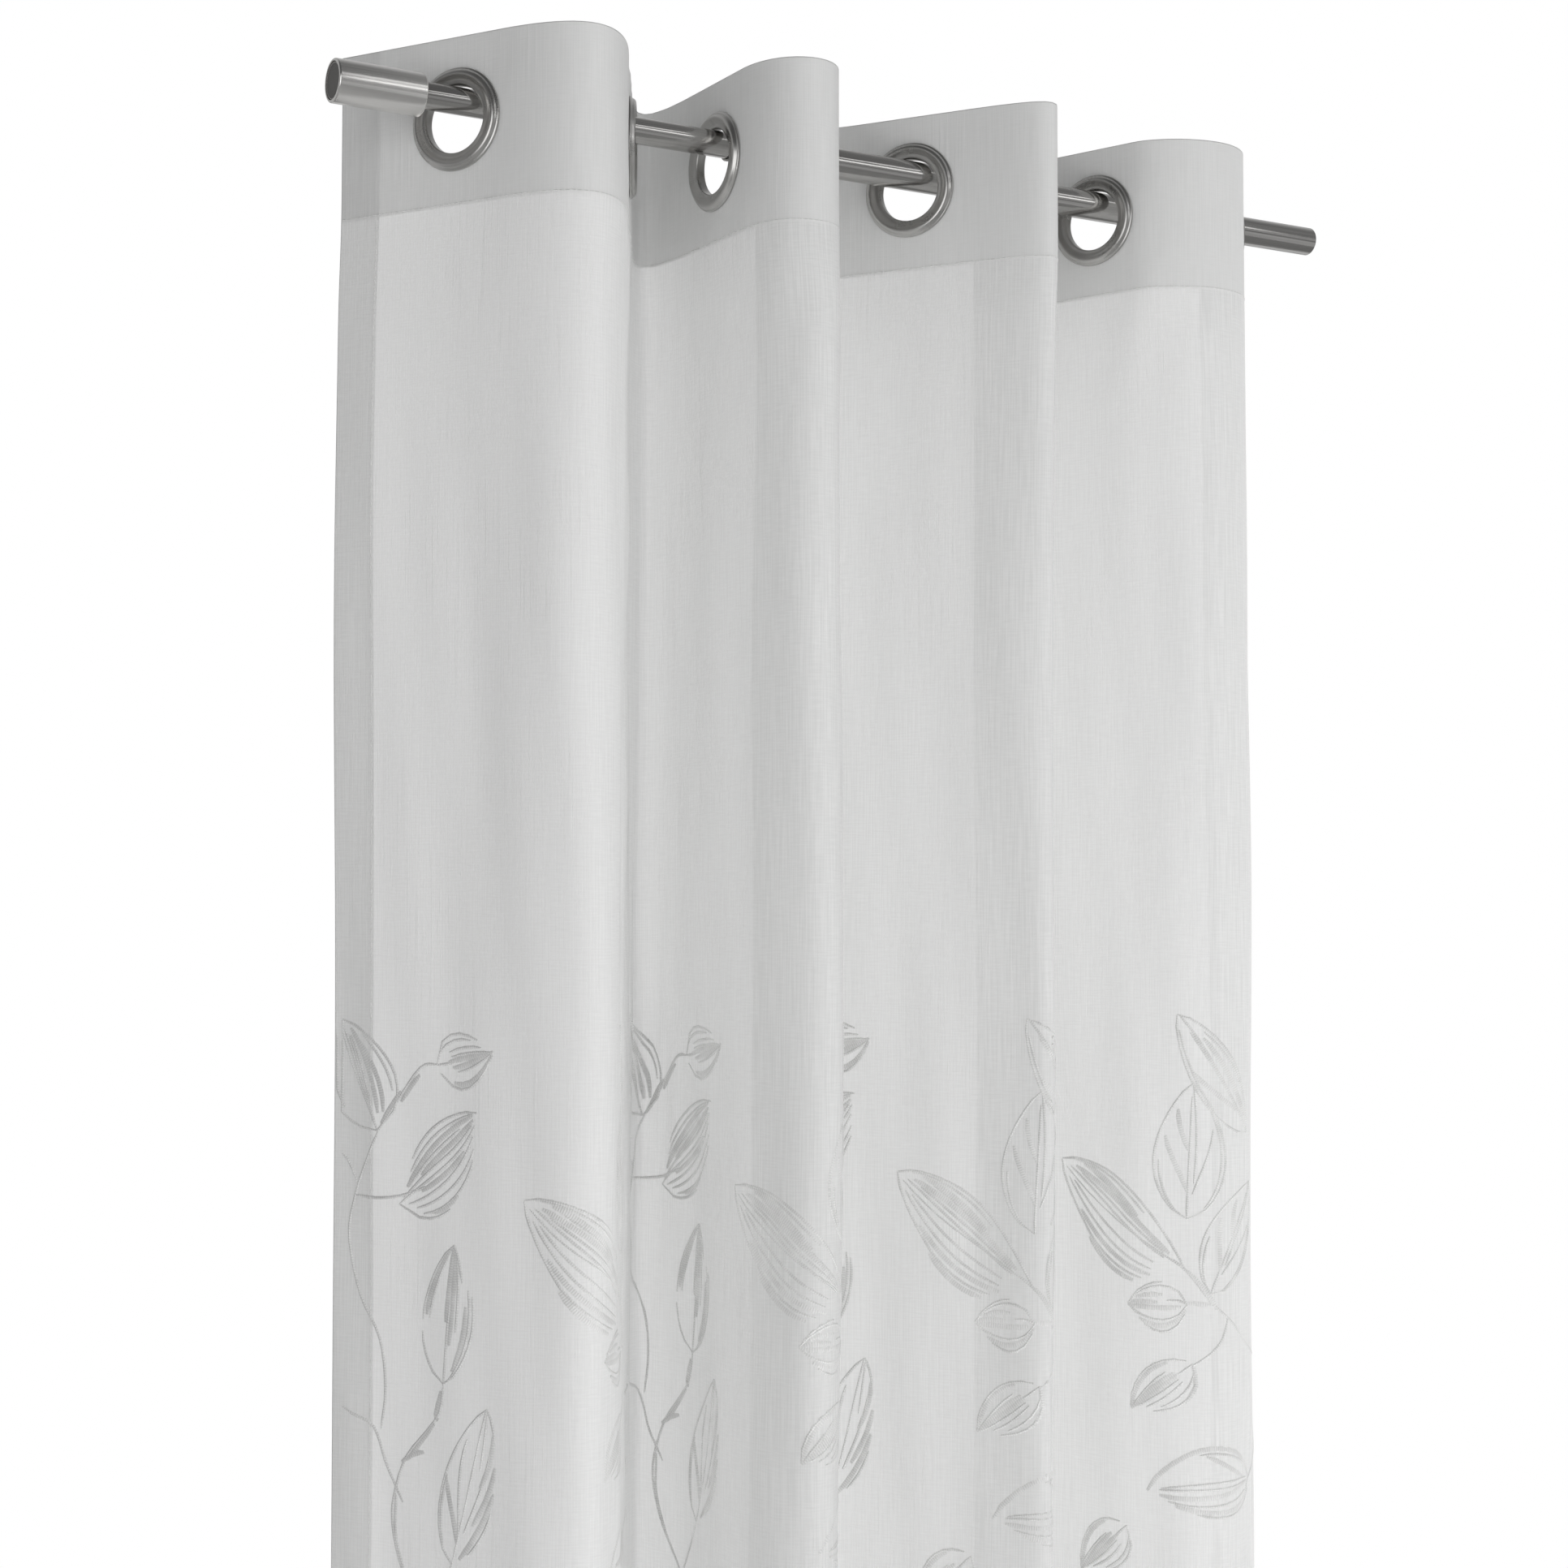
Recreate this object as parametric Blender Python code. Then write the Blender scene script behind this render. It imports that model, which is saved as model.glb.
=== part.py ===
"""Sheer voile curtain with eight metal eyelets, hanging in folds on a telescopic rod.

Metres, +Z up. X runs along the rod, -Y is the room side, +Y the wall side. The origin is on the
rod's axis, half way along the rod.
"""

import bmesh
import bpy
import numpy as np
from mathutils import Matrix, Vector

GAP = 0.0003  # between pieces that touch

# Rod: a thin tube that slides in a thick one, with a turned cap on the thin end.
ROD_LENGTH = 0.723
THIN_RADIUS = 0.008
THICK_RADIUS = 0.0095
THIN_WALL = 0.001
THIN_REACH = 0.150  # length of the thin tube hidden in the thick one
STEP_X = -0.105  # where the thick tube begins
CAP_RADIUS = 0.01275
CAP_LENGTH = 0.054
CAP_EDGE = 0.0012  # rounding of the cap's rims
CAP_BORE_DEPTH = 0.044
DISC_RADIUS = 0.0108
DISC_DEPTH = 0.003
DISC_SINK = 0.0006  # how far the end disc sits below the cap's rim

# Curtain: one cut of cloth with a doubled heading.
CLOTH_THICKNESS = 0.0012
DROP = 2.45  # top edge to hem
TOP_Z = 0.038
HEADING = 0.100  # depth of the doubled heading
EYELET_SPACING = 0.176  # along the cloth
SIDE_MARGIN = 0.083  # first and last eyelet to the side edge, along the cloth
HOLE_RADIUS = 0.022  # punched in the cloth
FLAT_HALF = 0.031  # half of the stretch that an eyelet keeps flat

# Eyelets, front ring and back ring.
RING_RADIUS = 0.0305
BORE_RADIUS = 0.020
COLLAR_RADIUS = 0.0212
BACK_RING_BORE = 0.0216
BACK_RING_THICKNESS = 0.0016
RING_SIDES = 24
COLLAR_END = 0.0034  # how far behind the middle of the cloth the collar ends
# Front ring from the collar's lip to its rim: radius, height over its seat.
RING_FACE = (
    (0.0200, 0.0010),
    (0.0208, 0.0021),
    (0.0238, 0.0024),
    (0.0264, 0.0037),
    (0.0288, 0.0033),
    (0.0302, 0.0014),
    (0.0305, 0.0006),
)

# One row for each eyelet, left to right: its place on the rod, how many degrees its stretch of
# cloth turns away from square to the rod, how far that stretch has moved along the rod below the
# heading and how much further at the hem, and how far the fold after it leans to one side (0 is
# a symmetric fold).
EYELETS = (
    # x,      lean,  below,   hem,    skew
    (-0.285, 32.0, -0.0026, 0.006, 0.1),
    (-0.172, 28.0, -0.0022, 0.000, -0.3),
    (-0.113, 1.0, 0.0050, -0.009, 0.0),
    (-0.055, -2.0, 0.0050, -0.009, -0.4),
    (0.029, 34.0, -0.0030, -0.006, 0.0),
    (0.116, 12.0, -0.0030, -0.008, -0.4),
    (0.175, 22.0, 0.0020, 0.000, -0.4),
    (0.291, 25.0, 0.0030, -0.003, 0.0),
)

# Heights at which the folds are drawn: depth below the top edge, how far the cloth has let go of
# the eyelets' flat stretches (0 to 1), and how far it has moved on to the hem's places.
LEVELS = (
    # depth, freed, moved
    (0.000, 0.0, 0.00),
    (0.050, 0.0, 0.00),
    (HEADING, 0.0, 0.00),
    (0.150, 0.6, 0.02),
    (0.250, 0.85, 0.08),
    (0.420, 1.0, 0.20),
    (0.700, 1.0, 0.45),
    (1.100, 1.0, 0.70),
    (1.600, 1.0, 0.85),
    (2.050, 1.0, 0.95),
    (DROP, 1.0, 1.00),
)

FOLD_STEPS = 11  # straight runs around one fold
LOOSE_FLAT = 0.012  # half of the nearly flat stretch between two folds, low down

COLOURS = {
    # name: base colour, roughness, metallic
    "voile": ((0.80, 0.80, 0.79), 0.85, 0.0),
    "satin nickel": ((0.50, 0.50, 0.49), 0.32, 1.0),
    "brushed steel": ((0.56, 0.55, 0.54), 0.30, 1.0),
    "dark plastic": ((0.11, 0.115, 0.12), 0.55, 0.0),
}


def clear_scene():
    for obj in list(bpy.data.objects):
        bpy.data.objects.remove(obj, do_unlink=True)


def material(name):
    colour, roughness, metallic = COLOURS[name]
    mat = bpy.data.materials.get(name)
    if mat is None:
        mat = bpy.data.materials.new(name)
        mat.use_nodes = True
        shader = mat.node_tree.nodes["Principled BSDF"]
        shader.inputs["Base Color"].default_value = (*colour, 1.0)
        shader.inputs["Roughness"].default_value = roughness
        shader.inputs["Metallic"].default_value = metallic
    return mat


def add_object(name, mesh, material_name):
    obj = bpy.data.objects.new(name, mesh)
    obj.data.materials.append(material(material_name))
    bpy.context.scene.collection.objects.link(obj)
    return obj


def turned(name, outline, sides):
    """A body turned around Z from a closed outline of (radius, height), which runs
    anticlockwise. A point at radius 0 closes the body on its axis."""
    mesh = bpy.data.meshes.new(name)
    bm = bmesh.new()
    verts = [bm.verts.new((radius, 0.0, height)) for radius, height in outline]
    edges = [bm.edges.new(pair) for pair in zip(verts, verts[1:])]
    if all(radius > 0 for radius, _ in outline):
        edges.append(bm.edges.new((verts[-1], verts[0])))
    bmesh.ops.spin(
        bm,
        geom=verts + edges,
        axis=(0, 0, 1),
        cent=(0, 0, 0),
        angle=2 * np.pi,
        steps=sides,
        use_merge=True,
    )
    bmesh.ops.remove_doubles(bm, verts=bm.verts, dist=1e-6)
    bmesh.ops.recalc_face_normals(bm, faces=bm.faces)
    bm.to_mesh(mesh)
    bm.free()
    mesh.shade_smooth()
    mesh.set_sharp_from_angle(angle=np.radians(40))
    return mesh


def cloth_direction(row, lean):
    """Unit direction in which the cloth runs at an eyelet: even rows of the table come
    towards the room, odd rows go back to the wall."""
    turn = np.radians(lean)
    towards = -1.0 if row % 2 == 0 else 1.0
    return np.array((np.sin(turn), towards * np.cos(turn)))


def bezier(start, start_way, end, end_way, reach_start, reach_end, steps):
    t = np.linspace(0.0, 1.0, steps + 1)[:, None]
    near = start + reach_start * start_way
    far = end - reach_end * end_way
    return (
        (1 - t) ** 3 * start
        + 3 * (1 - t) ** 2 * t * near
        + 3 * (1 - t) * t**2 * far
        + t**3 * end
    )


def fold(start, start_way, end, end_way, length, skew):
    """One fold between two flat stretches, bulging until its cloth is as long as length."""
    least, most = 0.001, 0.25
    for _ in range(30):
        reach = (least + most) / 2
        points = bezier(
            start, start_way, end, end_way, reach * (1 + skew), reach * (1 - skew), FOLD_STEPS
        )
        if np.linalg.norm(np.diff(points, axis=0), axis=1).sum() < length:
            least = reach
        else:
            most = reach
    return points


def cross_section(freed, moved):
    """The cloth's line seen from above at one height, left edge to right edge."""
    flat = FLAT_HALF + freed * (LOOSE_FLAT - FLAT_HALF)
    centres = [np.array((x + freed * below + moved * hem, 0.0)) for x, _, below, hem, _ in EYELETS]
    ways = [cloth_direction(row, eyelet[1]) for row, eyelet in enumerate(EYELETS)]
    margin = np.linspace(SIDE_MARGIN, flat, 4)[:, None]
    points = [centres[0] - margin * ways[0]]
    for row, eyelet in enumerate(EYELETS[:-1]):
        start = centres[row] + flat * ways[row]
        end = centres[row + 1] - flat * ways[row + 1]
        length = EYELET_SPACING - 2 * flat
        points.append(fold(start, ways[row], end, ways[row + 1], length, eyelet[-1]))
    points.append(centres[-1] + margin[::-1] * ways[-1])
    return np.vstack(points)


def curtain():
    """The cloth: one sheet through all the heights of LEVELS, given its thickness and punched."""
    mesh = bpy.data.meshes.new("curtain_panel")
    bm = bmesh.new()
    rows = []
    for depth, freed, moved in LEVELS:
        z = TOP_Z - depth
        line = cross_section(freed, moved)
        rows.append([bm.verts.new((x, y, z)) for x, y in line])
    for upper, lower in zip(rows, rows[1:]):
        for k in range(len(upper) - 1):
            bm.faces.new((upper[k], lower[k], lower[k + 1], upper[k + 1]))
    bm.to_mesh(mesh)
    bm.free()
    mesh.shade_smooth()
    obj = add_object("curtain_panel", mesh, "voile")
    thick = obj.modifiers.new("thickness", "SOLIDIFY")
    thick.thickness = CLOTH_THICKNESS
    thick.offset = 0.0
    thick.use_even_offset = True
    punch = obj.modifiers.new("holes", "BOOLEAN")
    punch.operation = "DIFFERENCE"
    punch.solver = "EXACT"
    punch.object = hole_punch()
    return obj


def hole_punch():
    """Eight round bars, one through each eyelet's place, joined as one cutter."""
    bm = bmesh.new()
    for row in range(len(EYELETS)):
        bmesh.ops.create_cone(
            bm,
            cap_ends=True,
            segments=RING_SIDES,
            radius1=HOLE_RADIUS,
            radius2=HOLE_RADIUS,
            depth=0.012,
            matrix=eyelet_place(row),
        )
    mesh = bpy.data.meshes.new("hole_punch")
    bm.to_mesh(mesh)
    bm.free()
    obj = bpy.data.objects.new("hole_punch", mesh)
    bpy.context.scene.collection.objects.link(obj)
    obj.hide_render = True
    obj.display_type = "WIRE"
    return obj


def hang_height(x, way):
    """Height of an eyelet's centre when its bore rests, all but a gap, on the rod's top."""
    rod = (THIN_RADIUS if x < STEP_X else THICK_RADIUS) + 2 * GAP
    highest = -BORE_RADIUS
    for beside in np.linspace(-0.012, 0.012, 25):
        for ahead in (-COLLAR_END, RING_FACE[0][1]):
            y = beside * way[1] - ahead * way[0]
            if abs(y) < rod:
                needed = np.sqrt(rod**2 - y**2) - np.sqrt(BORE_RADIUS**2 - beside**2)
                highest = max(highest, needed)
    return highest


def eyelet_place(row):
    """Matrix that puts a ring's axis on the cloth's room-side normal at an eyelet."""
    x, lean = EYELETS[row][:2]
    way = cloth_direction(row, lean)
    normal = Vector((way[1], -way[0], 0.0))
    along = Vector((way[0], way[1], 0.0))
    up = normal.cross(along)
    place = Matrix((along, up, normal)).transposed().to_4x4()
    place.translation = (x, 0.0, hang_height(x, way))
    return place


def eyelets():
    seat = CLOTH_THICKNESS / 2 + GAP
    front = [(radius, seat + height) for radius, height in RING_FACE]
    front += [
        (RING_RADIUS, seat),
        (COLLAR_RADIUS, seat),
        (COLLAR_RADIUS, -COLLAR_END),
        (BORE_RADIUS, -COLLAR_END),
    ]
    back = [
        (BACK_RING_BORE, -seat),
        (BACK_RING_BORE, -seat - BACK_RING_THICKNESS),
        (RING_RADIUS - 0.0015, -seat - BACK_RING_THICKNESS),
        (RING_RADIUS, -seat - BACK_RING_THICKNESS / 2),
        (RING_RADIUS, -seat),
    ]
    front_mesh = turned("eyelet_front", front, RING_SIDES)
    back_mesh = turned("eyelet_back", back, RING_SIDES)
    for row in range(len(EYELETS)):
        for side, mesh in (("front", front_mesh), ("back", back_mesh)):
            ring = add_object(f"eyelet_{row + 1}_{side}", mesh.copy(), "satin nickel")
            ring.matrix_world = eyelet_place(row)


def lay_along_rod(obj, x):
    """Turns a body that was made around Z so that its axis is the rod's, base at x."""
    obj.rotation_euler = (0.0, np.pi / 2, 0.0)
    obj.location = (x, 0.0, 0.0)


def tube(name, outer, inner, start, end, material_name):
    length = end - start
    edge = 0.0003
    outline = [
        (inner, 0.0),
        (outer - edge, 0.0),
        (outer, edge),
        (outer, length - edge),
        (outer - edge, length),
        (inner, length),
    ]
    lay_along_rod(add_object(name, turned(name, outline, 28), material_name), start)


def rod():
    left = -ROD_LENGTH / 2
    right = ROD_LENGTH / 2
    recess = DISC_SINK + DISC_DEPTH + GAP
    bore = THIN_RADIUS + GAP
    bore_end = CAP_LENGTH - CAP_BORE_DEPTH
    cap = [
        (0.0, recess),
        (DISC_RADIUS + GAP, recess),
        (DISC_RADIUS + GAP, 0.0),
        (CAP_RADIUS - CAP_EDGE, 0.0),
        (CAP_RADIUS - 0.3 * CAP_EDGE, 0.3 * CAP_EDGE),
        (CAP_RADIUS, CAP_EDGE),
        (CAP_RADIUS, CAP_LENGTH - CAP_EDGE),
        (CAP_RADIUS - 0.3 * CAP_EDGE, CAP_LENGTH - 0.3 * CAP_EDGE),
        (CAP_RADIUS - CAP_EDGE, CAP_LENGTH),
        (bore, CAP_LENGTH),
        (bore, bore_end),
        (0.0, bore_end),
    ]
    lay_along_rod(add_object("rod_end_cap", turned("rod_end_cap", cap, 32), "brushed steel"), left)
    disc = [
        (0.0, 0.0),
        (DISC_RADIUS - GAP, 0.0),
        (DISC_RADIUS, GAP),
        (DISC_RADIUS, DISC_DEPTH),
        (0.0, DISC_DEPTH),
    ]
    disc_mesh = turned("rod_cap_disc", disc, 32)
    lay_along_rod(add_object("rod_cap_disc", disc_mesh, "dark plastic"), left + DISC_SINK)
    thin_start = left + bore_end + GAP
    thin_end = STEP_X + THIN_REACH
    thin_bore = THIN_RADIUS - THIN_WALL
    tube("rod_thin_tube", THIN_RADIUS, thin_bore, thin_start, thin_end, "brushed steel")
    thick_bore = THIN_RADIUS + GAP
    tube("rod_thick_tube", THICK_RADIUS, thick_bore, STEP_X, right, "brushed steel")


clear_scene()
rod()
eyelets()
curtain()
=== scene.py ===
"""Sheer voile curtain with eight metal eyelets and stitched sprays of leaves, hanging on a
telescopic steel rod. Metres, +Z up. X runs along the rod, -Y is the room side.
"""

import math

import bmesh
import bpy
import numpy as np
from mathutils import Matrix, Vector


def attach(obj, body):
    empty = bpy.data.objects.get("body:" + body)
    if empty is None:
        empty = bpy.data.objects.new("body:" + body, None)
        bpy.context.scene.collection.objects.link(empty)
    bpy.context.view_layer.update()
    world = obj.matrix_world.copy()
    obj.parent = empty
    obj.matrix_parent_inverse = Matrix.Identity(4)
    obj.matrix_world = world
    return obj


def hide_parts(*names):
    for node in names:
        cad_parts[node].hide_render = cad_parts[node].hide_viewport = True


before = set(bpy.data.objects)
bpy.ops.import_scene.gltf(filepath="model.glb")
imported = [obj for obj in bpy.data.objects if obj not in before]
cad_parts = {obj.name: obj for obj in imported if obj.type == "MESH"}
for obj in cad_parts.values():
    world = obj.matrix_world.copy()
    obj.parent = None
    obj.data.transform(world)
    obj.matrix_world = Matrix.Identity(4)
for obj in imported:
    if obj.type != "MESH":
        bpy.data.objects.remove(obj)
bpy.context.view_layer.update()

# ---------------------------------------------------------------------------
# Curtain cloth
# One cut of sheer voile, woven of uneven threads. The top is turned down behind as a doubled
# heading, both sides have a narrow turned hem and the foot a deeper one. It hangs from its
# eyelets in eight flat stretches with a fold between each two.
# ---------------------------------------------------------------------------
DROP = 2.45  # top edge to foot
TOP_Z = 0.038
HEADING = 0.100
SIDE_HEM = 0.028
FOOT_HEM = 0.060
HEM_LAYER = 0.00055  # from one layer of cloth to the next
FOLD_EDGE = 0.0007  # how much of the cloth the turn of a hem takes up
EYELET_SPACING = 0.176  # along the cloth
SIDE_MARGIN = 0.083
HOLE_RADIUS = 0.0222
FLAT_HALF = 0.031
LOOSE_FLAT = 0.012
THIN_RADIUS = 0.008
THICK_RADIUS = 0.0095
STEP_X = -0.105  # where the rod's thick tube begins
BORE_RADIUS = 0.020
COLLAR_END = 0.0034
LIP_HEIGHT = 0.0010
CLEARANCE = 0.0006

# One row for each eyelet: place on the rod, turn from square to the rod in degrees, shift along
# the rod below the heading, further shift at the foot, lean of the fold that follows.
EYELETS = (
    (-0.285, 32.0, -0.0026, 0.006, 0.1),
    (-0.172, 28.0, -0.0022, 0.000, -0.3),
    (-0.113, 1.0, 0.0050, -0.009, 0.0),
    (-0.055, -2.0, 0.0050, -0.009, -0.4),
    (0.029, 34.0, -0.0030, -0.006, 0.0),
    (0.116, 12.0, -0.0030, -0.008, -0.4),
    (0.175, 22.0, 0.0020, 0.000, -0.4),
    (0.291, 25.0, 0.0030, -0.003, 0.0),
)
WIDTH = 2 * SIDE_MARGIN + EYELET_SPACING * (len(EYELETS) - 1)

# Depth below the top edge, how far the cloth has let go of the eyelets' flat stretches, and how
# far it has moved to the foot's places.
LEVELS = (
    (0.000, 0.0, 0.00),
    (0.050, 0.0, 0.00),
    (HEADING, 0.0, 0.00),
    (0.150, 0.6, 0.02),
    (0.250, 0.85, 0.08),
    (0.420, 1.0, 0.20),
    (0.700, 1.0, 0.45),
    (1.100, 1.0, 0.70),
    (1.600, 1.0, 0.85),
    (2.050, 1.0, 0.95),
    (DROP, 1.0, 1.00),
)
FOLD_STEPS = 36
STATIONS = 700  # across the cloth, in the table of its hang
DEPTH_STEP = 0.010


def cloth_way(row, lean):
    """Direction of the cloth at an eyelet, seen from above: in turn to the room and back."""
    turn = math.radians(lean)
    return np.array((math.sin(turn), (-1.0 if row % 2 == 0 else 1.0) * math.cos(turn)))


def fold(start, start_way, end, end_way, length, lean):
    """One fold between two flat stretches, bulging until its cloth is as long as length."""
    t = np.linspace(0.0, 1.0, FOLD_STEPS + 1)[:, None]
    least, most = 0.001, 0.25
    for _ in range(26):
        reach = (least + most) / 2
        near = start + reach * (1 + lean) * start_way
        far = end - reach * (1 - lean) * end_way
        line = (1 - t) ** 3 * start + 3 * (1 - t) ** 2 * t * near
        line = line + 3 * (1 - t) * t**2 * far + t**3 * end
        if np.linalg.norm(np.diff(line, axis=0), axis=1).sum() < length:
            least = reach
        else:
            most = reach
    return line


def eased(depth, column):
    """A column of LEVELS at a depth, rounded off where the hang changes."""
    reach = 0.004 + 0.11 * depth
    near = depth + np.linspace(-reach, reach, 15)
    table = np.array(LEVELS)
    return float(np.interp(near, table[:, 0], table[:, column]).mean())


def hang_line(depth):
    """The cloth's line seen from above at one depth, at equal steps along the cloth."""
    freed, moved = eased(depth, 1), eased(depth, 2)
    flat = FLAT_HALF + freed * (LOOSE_FLAT - FLAT_HALF)
    centres = [np.array((x + freed * below + moved * foot, 0.0)) for x, _, below, foot, _ in EYELETS]
    ways = [cloth_way(row, eyelet[1]) for row, eyelet in enumerate(EYELETS)]
    margin = np.linspace(SIDE_MARGIN, flat, 6)[:, None]
    runs = [centres[0] - margin * ways[0]]
    for row, eyelet in enumerate(EYELETS[:-1]):
        start = centres[row] + flat * ways[row]
        end = centres[row + 1] - flat * ways[row + 1]
        length = EYELET_SPACING - 2 * flat
        runs.append(fold(start, ways[row], end, ways[row + 1], length, eyelet[-1])[1:-1])
    runs.append(centres[-1] + margin[::-1] * ways[-1])
    line = np.vstack(runs)
    along = np.r_[0.0, np.cumsum(np.linalg.norm(np.diff(line, axis=0), axis=1))]
    stations = np.linspace(0.0, along[-1], STATIONS + 1)
    return np.stack([np.interp(stations, along, line[:, k]) for k in (0, 1)], axis=1)


hang_depths = np.arange(0.0, DROP + DEPTH_STEP, DEPTH_STEP)
hang = np.array([hang_line(min(depth, DROP)) for depth in hang_depths])
hang_out = np.gradient(hang, axis=1)
hang_out = np.stack([hang_out[..., 1], -hang_out[..., 0]], axis=-1)
hang_out /= np.linalg.norm(hang_out, axis=-1, keepdims=True)

# Soft waves that the cloth keeps below its heading: height, length across and length down the
# cloth, and phase.
WAVES = (
    (0.0011, 0.210, 1.30, 0.4),
    (0.0009, 0.118, -0.83, 2.1),
    (0.0006, 0.071, 0.57, 4.0),
    (0.0004, 0.039, -0.36, 1.3),
)
# Places where it is puckered: middle across, middle down, half width, half height, ripple
# height, ripple length across, ripple length down.
PUCKERS = (
    (0.325, 0.52, 0.045, 0.42, 0.0015, 0.0190, 0.300),
    (0.262, 0.40, 0.016, 0.50, 0.0015, 0.0900, 0.130),
    (0.612, 0.62, 0.014, 0.50, 0.0007, 0.0900, 0.140),
    (0.965, 0.55, 0.014, 0.45, 0.0006, 0.0900, 0.170),
    (0.500, 0.14, 0.060, 0.05, 0.0006, 0.0400, 0.200),
    (1.180, 0.14, 0.060, 0.04, 0.0005, 0.0500, 0.200),
)


def unevenness(s, depth):
    """How far the cloth stands off its plain hang, towards its room side."""
    rise = np.clip((depth - HEADING) / 0.25, 0.0, 1.0)
    off = np.zeros_like(s)
    for height, across, down, phase in WAVES:
        off = off + height * np.sin(2 * np.pi * (s / across + depth / down) + phase)
    off = off * rise * rise * (3 - 2 * rise)
    for s_mid, d_mid, half_s, half_d, height, across, down in PUCKERS:
        near = np.exp(-(((s - s_mid) / half_s) ** 2) - ((depth - d_mid) / half_d) ** 2)
        wave = np.sin(2 * np.pi * (s / across + depth / down) + 1.7 * np.sin(9.0 * depth))
        off = off + near * height * wave
    return off


def on_cloth(s, depth, lift=0.0):
    """Points of the hanging cloth from its flat measures, raised by lift on its room side."""
    s, depth = np.asarray(s, float), np.asarray(depth, float)
    across = np.clip(s / WIDTH, 0.0, 1.0) * STATIONS
    down = np.clip(depth / DEPTH_STEP, 0.0, len(hang_depths) - 1.0)
    c = np.minimum(across.astype(int), STATIONS - 1)
    r = np.minimum(down.astype(int), len(hang_depths) - 2)
    fc, fr = (across - c)[..., None], (down - r)[..., None]

    def read(table):
        upper = table[r, c] * (1 - fc) + table[r, c + 1] * fc
        lower = table[r + 1, c] * (1 - fc) + table[r + 1, c + 1] * fc
        return upper * (1 - fr) + lower * fr

    out = read(hang_out)
    out /= np.linalg.norm(out, axis=-1, keepdims=True)
    plan = read(hang) + out * (unevenness(s, depth) + lift)[..., None]
    return np.concatenate([plan, (TOP_Z - depth)[..., None]], axis=-1)


def hang_height(x, way):
    """Height of an eyelet's middle when its bore rests on the top of the rod."""
    rod = (THIN_RADIUS if x < STEP_X else THICK_RADIUS) + CLEARANCE
    highest = -BORE_RADIUS
    for beside in np.linspace(-0.012, 0.012, 25):
        for ahead in (-COLLAR_END, LIP_HEIGHT):
            y = beside * way[1] - ahead * way[0]
            if abs(y) < rod:
                needed = math.sqrt(rod**2 - y**2) - math.sqrt(BORE_RADIUS**2 - beside**2)
                highest = max(highest, needed)
    return highest


def layers(turned_first, length, turned_last, front_steps):
    """Steps along one way of the cloth, with the cloth turned behind it at both ends."""
    first = np.linspace(turned_first, FOLD_EDGE, round(turned_first / 0.0045) + 1)
    last = length - np.linspace(FOLD_EDGE, turned_last, round(turned_last / 0.0045) + 1)
    steps = np.concatenate([first, front_steps, last])
    behind = np.concatenate([np.ones(len(first)), np.zeros(len(front_steps)), np.ones(len(last))])
    return steps, behind


def cloth_mesh(name):
    even = np.linspace(0.0, WIDTH, 281)
    even = np.r_[0.0, FOLD_EDGE, even[1:-1], WIDTH - FOLD_EDGE, WIDTH]
    across, across_behind = layers(SIDE_HEM, WIDTH, SIDE_HEM, even)
    fine = np.r_[0.0, FOLD_EDGE, np.arange(0.0042, HEADING + 0.0201, 0.0042)]
    middle = np.arange(fine[-1] + 0.007, 1.0, 0.0078)
    long = np.r_[np.linspace(middle[-1] + 0.015, DROP, 88)[:-1], DROP - FOLD_EDGE, DROP]
    down, down_behind = layers(HEADING, DROP, FOOT_HEM, np.concatenate([fine, middle, long]))
    s, depth = np.meshgrid(across, down)
    lift = -HEM_LAYER * (across_behind[None, :] + down_behind[:, None])
    rows, columns = s.shape
    index = np.arange(rows * columns).reshape(rows, columns)
    quads = np.stack(
        [index[:-1, :-1], index[1:, :-1], index[1:, 1:], index[:-1, 1:]], axis=-1
    ).reshape(-1, 4)
    s, depth, lift = s.ravel(), depth.ravel(), lift.ravel()
    kept = np.ones(len(quads), bool)
    for row, (x, lean, *_) in enumerate(EYELETS):
        s_mid = SIDE_MARGIN + row * EYELET_SPACING
        d_mid = TOP_Z - hang_height(x, cloth_way(row, lean))
        from_mid = np.stack([s - s_mid, depth - d_mid], axis=-1)
        middles = from_mid[quads].mean(axis=1)
        cut = np.linalg.norm(middles, axis=-1) < HOLE_RADIUS
        rim = np.intersect1d(quads[cut], quads[kept & ~cut])
        away = from_mid[rim] / np.linalg.norm(from_mid[rim], axis=-1, keepdims=True)
        s[rim] = s_mid + away[:, 0] * HOLE_RADIUS
        depth[rim] = d_mid + away[:, 1] * HOLE_RADIUS
        kept &= ~cut
    quads = quads[kept]
    used, quads = np.unique(quads, return_inverse=True)
    quads = quads.reshape(-1, 4)
    s, depth, lift = s[used], depth[used], lift[used]
    mesh = bpy.data.meshes.new(name)
    mesh.from_pydata(on_cloth(s, depth, lift).tolist(), [], quads.tolist())
    uv = mesh.uv_layers.new(name="cut")
    corners = np.stack([s, -depth], axis=-1)[quads.ravel()]
    uv.data.foreach_set("uv", corners.ravel())
    mesh.shade_smooth()
    return mesh


def add_piece(name, mesh, finish):
    piece = bpy.data.objects.new(name, mesh)
    piece.data.materials.append(finish)
    bpy.context.scene.collection.objects.link(piece)
    return piece


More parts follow.
